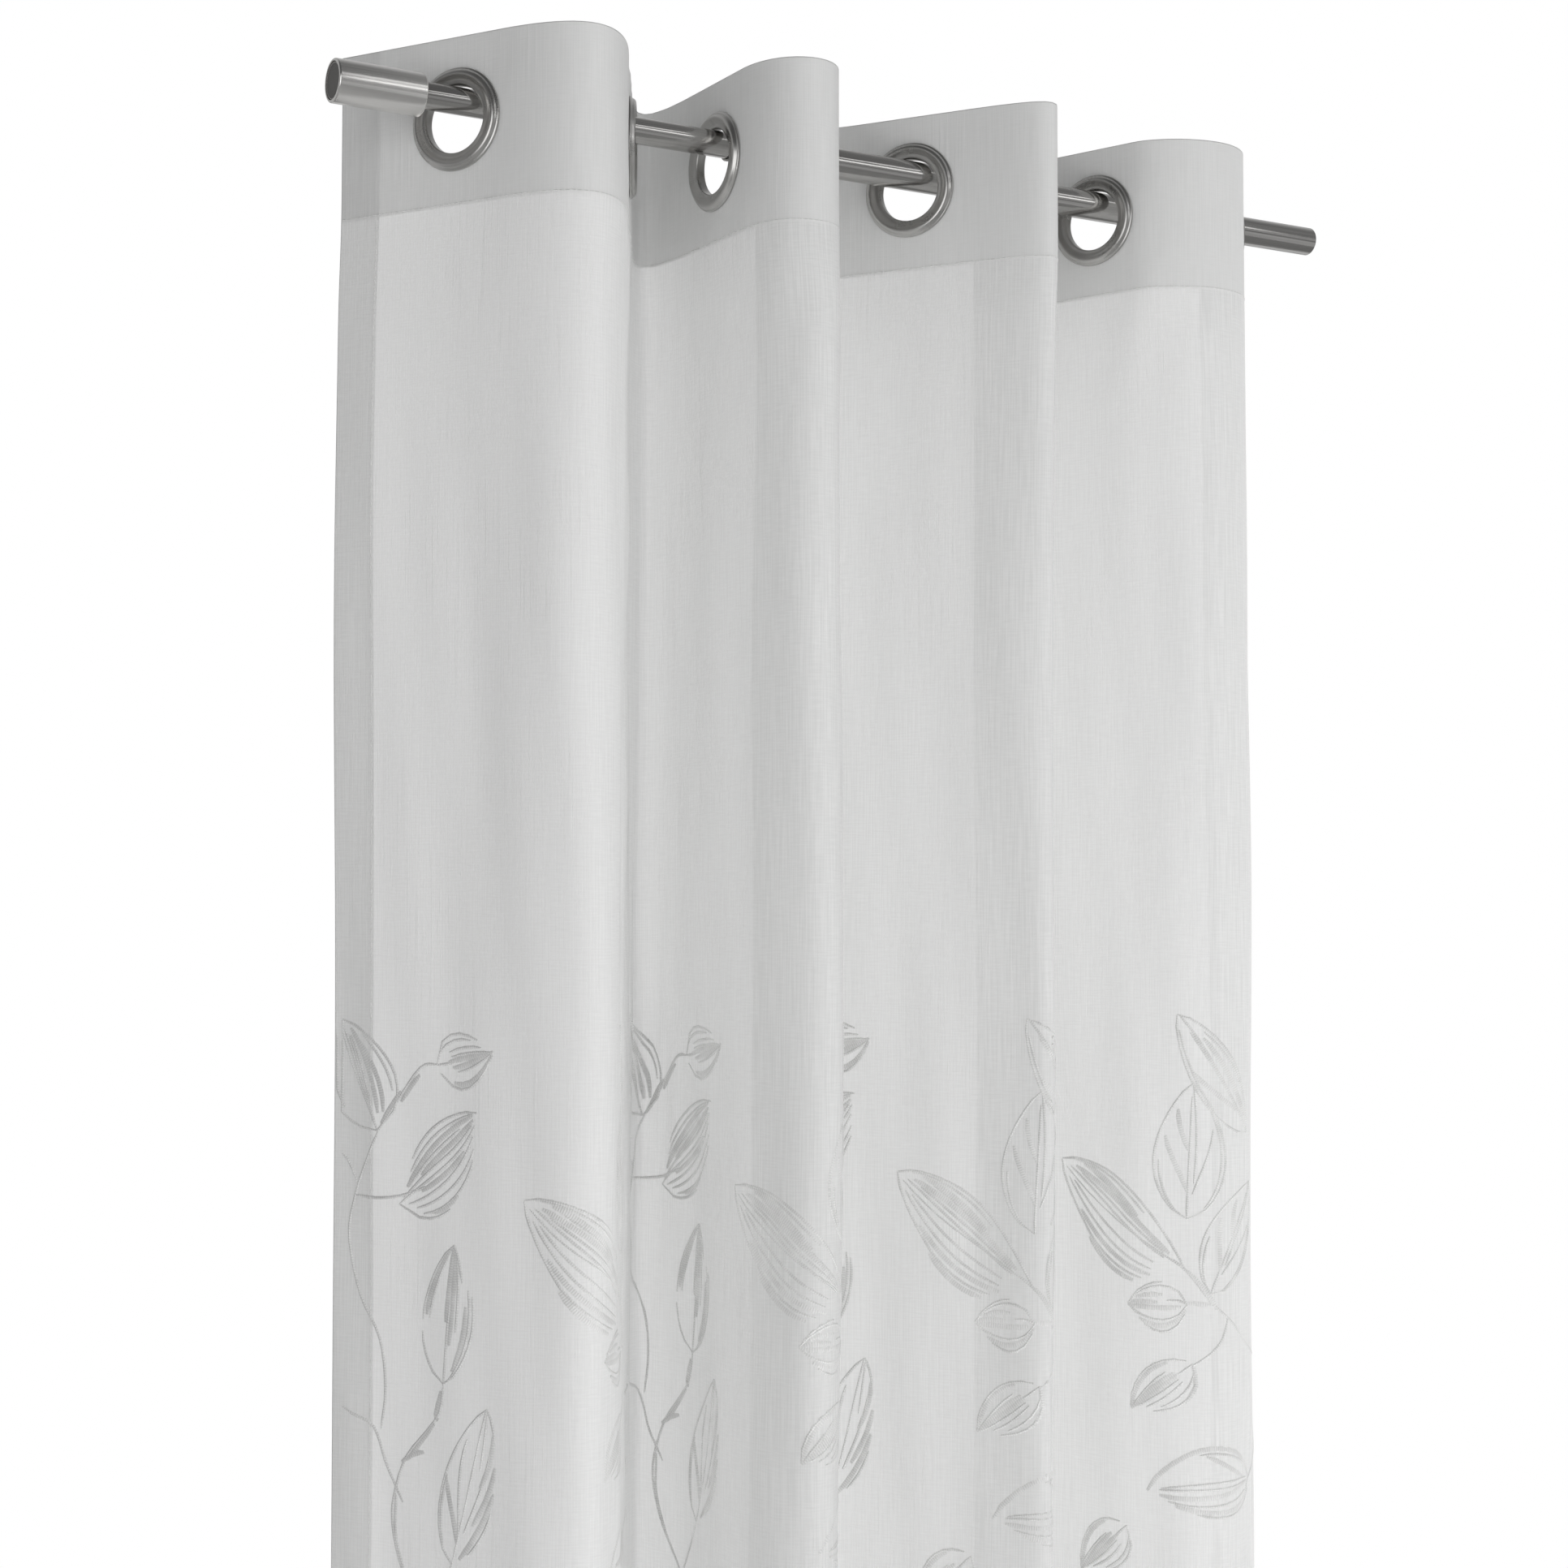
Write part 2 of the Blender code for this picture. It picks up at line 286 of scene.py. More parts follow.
class Value:
    """One output of a finish's nodes. Sums on it add Math nodes to the same finish."""

    def __init__(self, finish, socket):
        self.finish = finish
        self.socket = socket

    def math(self, operation, *others):
        sockets = dict(enumerate((self, *others)))
        return self.finish.node("ShaderNodeMath", {"operation": operation}, sockets)

    def other(self, operation, left):
        return self.finish.node("ShaderNodeMath", {"operation": operation}, {0: left, 1: self})

    def __add__(self, right):
        return self.math("ADD", right)

    def __radd__(self, left):
        return self.other("ADD", left)

    def __sub__(self, right):
        return self.math("SUBTRACT", right)

    def __rsub__(self, left):
        return self.other("SUBTRACT", left)

    def __mul__(self, right):
        return self.math("MULTIPLY", right)

    def __rmul__(self, left):
        return self.other("MULTIPLY", left)

    def __truediv__(self, right):
        return self.math("DIVIDE", right)

    def __pow__(self, right):
        return self.math("POWER", right)


class Finish:
    """A material and the nodes that make it."""

    def __init__(self, name):
        self.material = bpy.data.materials.new(name)
        self.material.use_nodes = True
        self.tree = self.material.node_tree
        self.tree.nodes.clear()

    def node(self, kind, settings=None, sockets=None, output=0):
        made = self.tree.nodes.new(kind)
        for key, value in (settings or {}).items():
            if key == "stops":
                ramp = made.color_ramp
                for place, (position, shade) in enumerate(value):
                    fresh = place >= len(ramp.elements)
                    stop = ramp.elements.new(position) if fresh else ramp.elements[place]
                    stop.position = position
                    stop.color = (shade, shade, shade, 1.0)
            else:
                setattr(made, key, value)
        for key, value in (sockets or {}).items():
            if isinstance(value, Value):
                self.tree.links.new(value.socket, made.inputs[key])
            else:
                made.inputs[key].default_value = value
        return Value(self, made.outputs[output])

    def noise(self, place, scale, detail=2.0, roughness=0.5, stretch=(1.0, 1.0, 1.0)):
        """Smooth noise of about 0.5, drawn out by stretch."""
        at = self.node("ShaderNodeMapping", {}, {"Vector": place, "Scale": stretch})
        settings = {"noise_dimensions": "3D"}
        sockets = {"Vector": at, "Scale": scale, "Detail": detail, "Roughness": roughness}
        return self.node("ShaderNodeTexNoise", settings, sockets)

    def between(self, value, low, high):
        """0 below low, 1 above high, smooth between them."""
        settings = {"interpolation_type": "SMOOTHSTEP"}
        sockets = {"Value": value, "From Min": low, "From Max": high}
        return self.node("ShaderNodeMapRange", settings, sockets)

    def shades(self, mask, dark, light):
        """A colour from dark to light as mask goes from 0 to 1."""
        sockets = {"Factor": mask, 6: (*dark, 1.0), 7: (*light, 1.0)}
        return self.node("ShaderNodeMix", {"data_type": "RGBA"}, sockets, output=2)

    def bump(self, height, distance, strength=1.0):
        sockets = {"Height": height, "Distance": distance, "Strength": strength}
        return self.node("ShaderNodeBump", {}, sockets)

    def principled(self, sockets):
        return self.node("ShaderNodeBsdfPrincipled", {}, sockets)

    def surface(self, shader):
        self.node_out = self.tree.nodes.new("ShaderNodeOutputMaterial")
        self.tree.links.new(shader.socket, self.node_out.inputs["Surface"])
        return self.material


VOILE_DARK = (0.858, 0.860, 0.855)
VOILE_LIGHT = (0.910, 0.911, 0.907)
COVER = 0.92  # share of the light that one layer stops
HEADING_COVER = 0.96


def voile_finish():
    cloth = Finish("voile_weave")
    uv = cloth.node("ShaderNodeUVMap", {"uv_map": "cut"})
    plain = cloth.node("ShaderNodeSeparateXYZ", {}, {0: uv}, output="Y")
    upright = cloth.noise(uv, 1100.0, 1.0, 0.5, (1.0, 0.022, 1.0))
    upright_bold = cloth.noise(uv, 420.0, 2.0, 0.6, (1.0, 0.024, 1.0))
    level = cloth.noise(uv, 1100.0, 1.0, 0.5, (0.080, 1.0, 1.0))
    patches = cloth.noise(uv, 14.0, 2.0, 0.5, (1.0, 0.6, 1.0))
    slubs = cloth.between(upright_bold, 0.52, 0.66) * cloth.between(patches, 0.40, 0.62)
    threads = 0.70 * upright + 0.30 * level
    heading = cloth.between(plain, -HEADING - 0.0006, -HEADING + 0.0006)
    weave = cloth.between(threads, 0.34, 0.66)
    colour = cloth.shades(weave * 0.75 + slubs * 0.25, VOILE_DARK, VOILE_LIGHT)
    cover = COVER + (weave - 0.5) * 0.07 + slubs * 0.05
    cover = cover + heading * (HEADING_COVER - cover)
    normal = cloth.bump(threads + slubs * 0.8, 0.0003, 0.40)
    front = cloth.principled(
        {
            "Base Color": colour,
            "Roughness": 0.86,
            "Sheen Weight": 0.12,
            "Sheen Roughness": 0.5,
            "Normal": normal,
        }
    )
    through = cloth.node("ShaderNodeBsdfTranslucent", {}, {"Color": colour, "Normal": normal})
    lit = cloth.node("ShaderNodeMixShader", {}, {0: 0.26, 1: front, 2: through})
    clear = cloth.node("ShaderNodeBsdfTransparent", {}, {"Color": (1.0, 1.0, 1.0, 1.0)})
    return cloth.surface(cloth.node("ShaderNodeMixShader", {}, {0: cover, 1: clear, 2: lit}))


cloth = add_piece("curtain_cloth", cloth_mesh("curtain_cloth"), voile_finish())
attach(cloth, "root")
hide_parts("curtain_panel")

# ---------------------------------------------------------------------------
# Seams
# Rows of machine stitches in white thread: one along the foot of the heading, one down each
# side hem and one along the foot hem, each stitch a short raised thread with a gap after it.
# ---------------------------------------------------------------------------
STITCH = 0.0026
STITCH_GAP = 0.0009
STITCH_WIDTH = 0.00055
THREAD_HEIGHT = 0.00030
THREAD_CREASE = 40.0  # degrees, over which an edge of a thread stays sharp
SEAM_INSET = 0.0016  # from a hem's inner edge
SEAM_LIFT = 0.0001


class ThreadWork:
    """Gathers the threads of one piece, each a closed four-sided cord through the cloth."""

    def __init__(self):
        self.points = []
        self.faces = []
        self.along = []
        self.count = 0

    def sew(self, line, widths, height, lift=0.0):
        """A thread along points of the flat cloth (s, depth), with a width at each point."""
        line = np.asarray(line, float)
        widths = np.broadcast_to(np.asarray(widths, float), (len(line),))
        ahead = np.gradient(line, axis=0)
        ahead /= np.linalg.norm(ahead, axis=1, keepdims=True) + 1e-12
        beside = np.stack([ahead[:, 1], -ahead[:, 0]], axis=1) * widths[:, None] / 2
        left, right = line + beside, line - beside
        rings = np.stack(
            [
                on_cloth(left[:, 0], left[:, 1], np.full(len(line), lift)),
                on_cloth(line[:, 0], line[:, 1], np.full(len(line), lift + height)),
                on_cloth(right[:, 0], right[:, 1], np.full(len(line), lift)),
                on_cloth(line[:, 0], line[:, 1], np.full(len(line), lift - height)),
            ],
            axis=1,
        )
        base = self.count
        for ring in range(len(line) - 1):
            a = base + 4 * ring
            for k in range(4):
                n = (k + 1) % 4
                self.faces.append((a + k, a + n, a + 4 + n, a + 4 + k))
        last = base + 4 * (len(line) - 1)
        self.faces.append((base + 3, base + 2, base + 1, base))
        self.faces.append((last, last + 1, last + 2, last + 3))
        self.points.append(rings.reshape(-1, 3))
        run = np.r_[0.0, np.cumsum(np.linalg.norm(np.diff(line, axis=0), axis=1))]
        self.along.append(np.repeat(run, 4))
        self.count += 4 * len(line)

    def mesh(self, name):
        made = bpy.data.meshes.new(name)
        made.from_pydata(np.vstack(self.points).tolist(), [], self.faces)
        run = np.concatenate(self.along)
        uv = made.uv_layers.new(name="thread")
        corner = np.zeros(len(made.loops), int)
        made.loops.foreach_get("vertex_index", corner)
        uv.data.foreach_set("uv", np.stack([run[corner], corner % 4 / 4.0], axis=1).ravel())
        shape = bmesh.new()
        shape.from_mesh(made)
        bmesh.ops.recalc_face_normals(shape, faces=shape.faces)
        shape.to_mesh(made)
        shape.free()
        made.shade_smooth()
        made.set_sharp_from_angle(angle=math.radians(THREAD_CREASE))
        return made


def thread_finish(name, dark, light, roughness, turns):
    """Twisted thread: fine slanting strands along its length."""
    thread = Finish(name)
    uv = thread.node("ShaderNodeUVMap", {"uv_map": "thread"})
    run = thread.node("ShaderNodeSeparateXYZ", {}, {0: uv}, output="X")
    place = thread.node("ShaderNodeTexCoord", {}, {}, output="Object")
    fibre = thread.noise(place, 1400.0, 2.0)
    strands = (run * turns + fibre * 2.0).math("SINE") * 0.5 + 0.5
    tone = thread.between(thread.noise(place, 60.0, 2.0), 0.35, 0.65)
    colour = thread.shades(strands * 0.55 + tone * 0.45, dark, light)
    sockets = {
        "Base Color": colour,
        "Roughness": roughness - strands * 0.12,
        "Sheen Weight": 0.15,
        "Normal": thread.bump(strands + fibre * 0.5, 0.0003, 0.45),
    }
    return thread.surface(thread.principled(sockets))


def seam(work, start, end):
    """A row of stitches between two points of the flat cloth."""
    start, end = np.array(start), np.array(end)
    length = np.linalg.norm(end - start)
    count = int(length / (STITCH + STITCH_GAP))
    way = (end - start) / length
    pitch = length / count
    for n in range(count):
        near = start + way * n * pitch
        line = near + way * np.array([[0.0], [0.5], [1.0]]) * STITCH
        work.sew(line, (STITCH_WIDTH * 0.6, STITCH_WIDTH, STITCH_WIDTH * 0.6), THREAD_HEIGHT, SEAM_LIFT)


seams = ThreadWork()
seam(seams, (0.001, HEADING - SEAM_INSET), (WIDTH - 0.001, HEADING - SEAM_INSET))
for edge in (SIDE_HEM - SEAM_INSET, WIDTH - SIDE_HEM + SEAM_INSET):
    seam(seams, (edge, HEADING + 0.002), (edge, DROP - FOOT_HEM - 0.002))
seam(seams, (0.001, DROP - FOOT_HEM + SEAM_INSET), (WIDTH - 0.001, DROP - FOOT_HEM + SEAM_INSET))
seam_thread = thread_finish("seam_thread", (0.66, 0.66, 0.655), (0.82, 0.82, 0.815), 0.6, 9000.0)
stitching = add_piece("hem_stitching", seams.mesh("hem_stitching"), seam_thread)
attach(stitching, "root")

# ---------------------------------------------------------------------------
# Embroidered sprays
# Leaves and buds on thin winding stems, drawn in satin thread. The same spray is repeated
# across the cloth and down to the foot hem, and the thread lies on both sides of the cloth.
# ---------------------------------------------------------------------------
REPEAT_ACROSS = 0.325
REPEAT_DOWN = 0.360
THIN = 0.0013  # thread widths
FINE = 0.0019
BOLD = 0.0033
CORD_HEIGHT = 0.00040
LOWEST = DROP - FOOT_HEM - 0.006
HAND = np.random.default_rng(11)


def smooth_line(points, step=0.0075):
    """A curve through given points, in steps of about step."""
    points = np.asarray(points, float)
    padded = np.vstack([2 * points[0] - points[1], points, 2 * points[-1] - points[-2]])
    pieces = []
    for k in range(1, len(padded) - 2):
        a, b, c, d = padded[k - 1 : k + 3]
        count = max(2, int(np.linalg.norm(c - b) / step) + 1)
        t = np.linspace(0.0, 1.0, count, endpoint=False)[:, None]
        pieces.append(
            0.5 * (2 * b + (c - a) * t + (2 * a - 5 * b + 4 * c - d) * t**2
                   + (3 * b - a - 3 * c + d) * t**3)
        )
    return np.vstack([*pieces, padded[-2:-1]])


def stem(points, width=FINE):
    """Points in millimetres: across the spray, and below the rod."""
    return smooth_line(np.array(points) / 1000.0), width


def leaf(base, tip, left, right, lines, bend=0.0, round_left=0.85, round_right=0.85):
    """Lines drawn inside a leaf from its foot towards its tip. Each of lines has its place across
    the leaf where it starts and where it ends (-1 left edge, 1 right edge), where it starts and
    ends along the leaf, and its width. A small round figure is widest near the foot."""
    base, tip = np.array(base) / 1000.0, np.array(tip) / 1000.0
    ahead = tip - base
    length = np.linalg.norm(ahead)
    ahead = ahead / length
    beside = np.array((ahead[1], -ahead[0]))
    made = []
    for begun, ended, first, last, width in lines:
        count = max(4, int(length * (last - first) / 0.0065) + 2)
        t = np.linspace(first, last, count)
        across = np.linspace(begun, ended, count)
        swell_left = left / 1000.0 * np.sin(np.pi * t**round_left) ** 0.75
        swell_right = right / 1000.0 * np.sin(np.pi * t**round_right) ** 0.75
        off = np.where(across > 0, across * swell_right, across * swell_left)
        off = off + bend / 1000.0 * np.sin(np.pi * t)
        off = off + HAND.uniform(-0.0006, 0.0006) * np.sin(5 * t)
        points = base + ahead * (t * length)[:, None] + beside * off[:, None]
        made.append((points, width))
    return made


OUTLINED = (
    (-1.0, -1.0, 0.0, 1.0, FINE), (-0.84, -0.80, 0.30, 0.90, FINE), (1.0, 1.0, 0.0, 1.0, FINE),
    (0.86, 0.80, 0.25, 0.80, FINE), (0.0, 0.1, 0.0, 0.85, FINE), (0.45, 0.50, 0.12, 0.76, BOLD),
)
RIBBED = (
    (-1.0, -1.0, 0.32, 1.0, FINE), (-0.70, -0.74, 0.24, 0.97, FINE),
    (-0.50, -0.44, 0.14, 0.96, BOLD), (-0.36, -0.20, 0.15, 0.80, FINE),
    (-0.12, 0.06, 0.30, 0.94, BOLD), (-0.14, 0.26, 0.06, 0.90, FINE),
    (0.0, 0.44, 0.0, 0.92, FINE), (0.20, 0.50, 0.22, 0.72, BOLD), (0.30, 0.66, 0.06, 0.86, FINE),
    (0.56, 0.84, 0.10, 0.80, FINE), (0.80, 0.96, 0.12, 0.74, FINE), (1.0, 1.0, 0.0, 0.34, FINE),
    (0.88, 0.93, 0.20, 0.46, BOLD),
)
SLIM = (
    (-1.0, -1.0, 0.42, 1.0, FINE), (-0.86, -0.86, 0.46, 0.97, BOLD), (-0.72, -0.70, 0.44, 0.90, FINE),
    (-1.0, -1.0, 0.0, 0.34, FINE), (0.0, 0.0, 0.0, 0.60, FINE), (-0.12, -0.06, 0.44, 0.98, BOLD),
    (0.14, 0.10, 0.28, 0.98, BOLD), (0.36, 0.30, 0.38, 0.90, FINE), (1.0, 1.0, 0.0, 0.66, FINE),
    (0.82, 0.84, 0.02, 0.70, FINE), (0.62, 0.68, 0.10, 0.58, BOLD), (0.60, 0.56, 0.74, 1.0, FINE),
)
SPLIT = (
    (-1.0, -1.0, 0.0, 1.0, FINE), (-0.88, -0.90, 0.10, 0.52, FINE), (0.05, -0.90, 0.14, 0.50, BOLD),
    (0.05, -0.72, 0.18, 0.78, FINE), (0.0, 0.0, 0.0, 1.0, THIN), (0.42, 0.92, 0.52, 0.86, BOLD),
    (0.50, 0.95, 0.28, 0.68, BOLD), (0.70, 0.98, 0.05, 0.52, BOLD), (0.30, 0.62, 0.22, 0.74, FINE),
    (1.0, 1.0, 0.10, 0.40, FINE), (1.0, 1.0, 0.84, 1.0, FINE), (0.30, 0.20, 0.62, 0.97, THIN),
)
FAN = (
    (1.0, 1.0, 0.0, 1.0, FINE), (0.82, 0.88, 0.38, 1.0, FINE), (0.52, 0.72, 0.40, 0.86, BOLD),
    (0.36, 0.56, 0.15, 0.78, FINE), (0.26, 0.42, 0.13, 0.90, BOLD), (0.06, 0.20, 0.16, 0.84, FINE),
    (-0.08, 0.02, 0.14, 0.93, FINE), (0.0, -0.24, 0.0, 0.95, THIN), (-0.34, -0.42, 0.17, 0.86, FINE),
    (-0.54, -0.64, 0.16, 0.90, FINE), (-0.72, -0.80, 0.14, 0.72, BOLD), (-0.90, -0.94, 0.17, 0.64, FINE),
    (-1.0, -1.0, 0.20, 0.58, BOLD), (-0.92, -0.90, 0.58, 1.0, FINE),
)
BUD = (
    (-1.0, -1.0, 0.0, 0.78, FINE), (-0.74, -0.80, 0.06, 0.66, FINE), (-0.40, -0.52, 0.24, 0.82, FINE),
    (-0.16, -0.24, 0.26, 1.0, FINE), (0.02, -0.04, 0.20, 0.98, BOLD), (0.22, 0.16, 0.26, 1.0, BOLD),
    (0.40, 0.34, 0.34, 0.96, FINE), (0.05, 0.05, 0.0, 0.30, FINE), (1.0, 1.0, 0.04, 1.0, FINE),
    (0.84, 0.86, 0.24, 0.98, BOLD),
)
OPEN_BUD = (
    (1.0, 1.0, 0.40, 0.94, FINE), (0.84, 0.84, 0.0, 1.0, FINE), (0.46, 0.56, 0.40, 0.84, BOLD),
    (0.12, 0.24, 0.48, 1.0, BOLD), (-0.16, -0.08, 0.10, 0.98, BOLD), (-0.56, -0.60, 0.0, 1.0, FINE),
    (-0.78, -0.84, 0.02, 0.80, BOLD), (-1.0, -1.0, 0.04, 0.72, FINE), (0.30, 0.20, 0.0, 0.34, FINE),
)
VEINED = (
    (-1.0, -1.0, 0.0, 1.0, FINE), (-0.90, -0.88, 0.04, 0.42, FINE), (1.0, 1.0, 0.0, 1.0, FINE),
    (0.88, 0.90, 0.08, 0.86, FINE), (-0.04, 0.0, 0.0, 0.90, FINE), (0.14, 0.20, 0.26, 0.98, FINE),
    (-0.06, -0.80, 0.20, 0.60, BOLD), (-0.06, -0.62, 0.50, 0.80, BOLD), (0.16, 0.72, 0.18, 0.66, FINE),
)
WIDE_BUD = (
    (1.0, 1.0, 0.0, 1.0, BOLD), (0.84, 0.88, 0.05, 0.56, FINE), (0.20, 0.80, 0.14, 0.50, BOLD),
    (0.12, 0.10, 0.06, 0.88, FINE), (-0.06, -0.04, 0.10, 0.90, FINE), (-0.14, -0.50, 0.05, 0.90, BOLD),
    (-0.56, -0.74, 0.10, 0.84, FINE), (-0.92, -0.86, 0.0, 0.78, BOLD), (-1.1, -1.0, 0.03, 0.62, FINE),
)


def spray():
    """The threads of one repeat, as (line, width). The bud over the top leaves belongs to the
    repeats below the first, so it comes last."""
    threads = []
    threads += leaf((31, -600), (5, -536), 22, 24, OUTLINED + FAN[4:8], round_right=0.7)
    threads.append(stem([(32, -600), (45, -583), (58, -567), (66, -561), (74, -561)]))
    threads.append(stem([(34, -596), (41, -586), (48, -577)], BOLD))
    threads.append(stem([(48, -583), (55, -574), (62, -567)], BOLD))
    threads += leaf((74, -561), (113, -553), 15, 17, BUD, 0.0, 0.70, 0.85)
    threads += leaf((47, -642), (103, -588), 16, 27, RIBBED, 0.0, 1.10, 0.72)
    threads.append(stem([(15, -638), (30, -639), (48, -637), (66, -631)]))
    threads += leaf((80, -742), (88, -663), 20, 17, SLIM, 0.0, 0.80, 0.88)
    threads.append(stem([(32, -600), (22, -620), (15, -638), (11, -662), (19, -695), (33, -720),
                         (37, -748), (34, -772)]))
    threads.append(stem([(1, -612), (9, -617), (16, -630)]))
    threads.append(stem([(1, -757), (14, -764), (29, -771), (38, -792), (50, -812)]))
    threads.append(stem([(80, -742), (77, -758), (67, -770), (53, -785), (45, -803), (42, -822),
                         (48, -846), (60, -866), (70, -884), (72, -905), (64, -930), (32, -960)]))
    threads.append(stem([(78, -746), (74, -760), (76, -763)], BOLD))
    threads.append(stem([(73, -765), (63, -776), (54, -787)], BOLD))
    threads.append(stem([(49, -789), (57, -784), (65, -782)], BOLD))
    threads.append(stem([(45, -808), (45, -832), (54, -856), (65, -874)]))
    threads += leaf((86, -843), (110, -754), 18, 17, SPLIT, 0.0, 0.80, 0.85)
    threads.append(stem([(86, -843), (78, -860), (68, -878)]))
    threads += leaf((222, -704), (133, -636), 30, 19, FAN, 0.0, 0.72, 1.25)
    threads.append(stem([(214, -697), (226, -708), (238, -724), (254, -738), (272, -754),
                         (300, -764), (324, -757)]))
    threads.append(stem([(223, -704), (236, -719), (242, -729)], BOLD))
    threads += leaf((223, -726), (184, -727), 17, 15, OPEN_BUD, 0.0, 0.80, 0.80)
    threads.append(stem([(223, -725), (238, -726)], BOLD))
    threads += leaf((226, -764), (186, -794), 16, 15, BUD, 0.0, 0.75, 0.90)
    threads.append(stem([(226, -764), (228, -778), (221, -789)], BOLD))
    threads.append(stem([(250, -735), (246, -748), (237, -758), (226, -765)]))
    threads += leaf((223, -671), (228, -583), 23, 24, VEINED, 0.0, 0.82, 0.80)
    threads += leaf((268, -616), (218, -539), 17, 15, OUTLINED + VEINED[5:7], 0.0, 0.80, 1.10)
    threads += leaf((238, -719), (272, -648), 19, 17, VEINED)
    threads += leaf((277, -840), (196, -846), 19, 25, WIDE_BUD, 0.0, 0.75, 0.90)
    threads.append(stem([(277, -841), (294, -826), (312, -800), (324, -757)]))
    threads += leaf((182, -510), (147, -543), 16, 16, BUD, 0.0, 0.75, 0.85)
    return threads


SPRAY = spray()
OVER_TOP = len(BUD)  # threads of the bud that the first row leaves out
PIECE_ROWS = ((0, 1), (2, 3), (4,))

satin = thread_finish("satin_thread", (0.64, 0.64, 0.634), (0.86, 0.86, 0.854), 0.42, 4200.0)
for piece_number, rows_down in enumerate(PIECE_ROWS, 1):
    work = ThreadWork()
    for row in rows_down:
        threads = SPRAY if row else SPRAY[:-OVER_TOP]
        for column in range(math.ceil(WIDTH / REPEAT_ACROSS)):
            shift = np.array((column * REPEAT_ACROSS, TOP_Z + row * REPEAT_DOWN))
            for line, width in threads:
                placed = line * (1.0, -1.0) + shift
                inside = (placed[:, 0] > 0.0015) & (placed[:, 0] < WIDTH - 0.0015)
                inside &= placed[:, 1] < LOWEST
                if inside.sum() < 3 or not inside.all() and inside.sum() < 4:
                    continue
                placed = placed[inside]
                ends = np.minimum(np.arange(len(placed)), np.arange(len(placed))[::-1])
                widths = width * np.where(ends == 0, 0.55, 1.0)
                work.sew(placed, widths, CORD_HEIGHT)
    name = f"embroidery_{piece_number}"
    sprays = add_piece(name, work.mesh(name), satin)
    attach(sprays, "root")

# ---------------------------------------------------------------------------
# Eyelets
# Eight two-part rings in satin nickel, pressed together through the heading. The front ring is
# a thin flange, a raised roll and a dished slope to the lip of its collar; the back one is flat.
# ---------------------------------------------------------------------------
RING_SIDES = 96
RING_RADIUS = 0.0305
COLLAR_RADIUS = 0.0212
BACK_BORE = 0.0216
FRONT_SEAT = 0.0003
BACK_SEAT = -0.0015
BACK_THICKNESS = 0.0014
# Face of the front ring, rim to lip: radius, height over its seat.
RING_FACE = (
    (0.03040, 0.00080), (0.03015, 0.00112), (0.02970, 0.00128), (0.02930, 0.00150),
    (0.02895, 0.00215), (0.02845, 0.00290), (0.02775, 0.00345), (0.02690, 0.00370),
    (0.02600, 0.00360), (0.02510, 0.00318), (0.02420, 0.00268), (0.02320, 0.00232),
    (0.02220, 0.00216), (0.02130, 0.00222), (0.02070, 0.00215), (0.02025, 0.00180),
    (0.02000, 0.00110),
)


def only_select(mesh, test):
    """In edit mode, selects the faces that pass a test of their middle and normal."""
    bpy.ops.mesh.select_mode(type="FACE")
    bpy.ops.mesh.select_all(action="DESELECT")
    shape = bmesh.from_edit_mesh(mesh)
    for face in shape.faces:
        face.select = test(face.calc_center_median(), face.normal)
    shape.select_flush_mode()
    bmesh.update_edit_mesh(mesh)


def bridge_open_loops(mesh):
    """In edit mode, joins the two open loops that deleted faces have left."""
    bpy.ops.mesh.select_mode(type="EDGE")
    bpy.ops.mesh.select_all(action="DESELECT")
    shape = bmesh.from_edit_mesh(mesh)
    for edge in shape.edges:
        edge.select = edge.is_boundary
    shape.select_flush_mode()
    bmesh.update_edit_mesh(mesh)
    bpy.ops.mesh.bridge_edge_loops()


def begin_cylinder(name, radius, height, base, sides, along_x=False):
    """A capped cylinder to shape, base at a height on Z or a place on X, left in edit mode."""
    bpy.ops.object.select_all(action="DESELECT")
    middle = base + height / 2
    bpy.ops.mesh.primitive_cylinder_add(
        vertices=sides,
        radius=radius,
        depth=height,
        location=(middle, 0, 0) if along_x else (0, 0, middle),
        rotation=(0, math.pi / 2, 0) if along_x else (0, 0, 0),
    )
    piece = bpy.context.object
    piece.name = piece.data.name = name
    bpy.ops.object.transform_apply(location=True, rotation=True, scale=True)
    bpy.ops.object.mode_set(mode="EDIT")
    return piece


def end_shaping(angle=35.0):
    """Leaves edit mode with the normals outward and smooth shading over the small angles."""
    bpy.ops.mesh.select_all(action="SELECT")
    bpy.ops.mesh.normals_make_consistent(inside=False)
    bpy.ops.object.mode_set(mode="OBJECT")
    bpy.ops.object.shade_smooth_by_angle(angle=math.radians(angle))


def open_bore(piece):
    """Deletes the two flat faces on the ring's axis and joins the loops that they leave."""
    only_select(
        piece.data,
        lambda middle, normal: abs(normal.z) > 0.9 and Vector(middle[:2]).length < 1e-4,
    )
    bpy.ops.mesh.delete(type="ONLY_FACE")
    bridge_open_loops(piece.data)


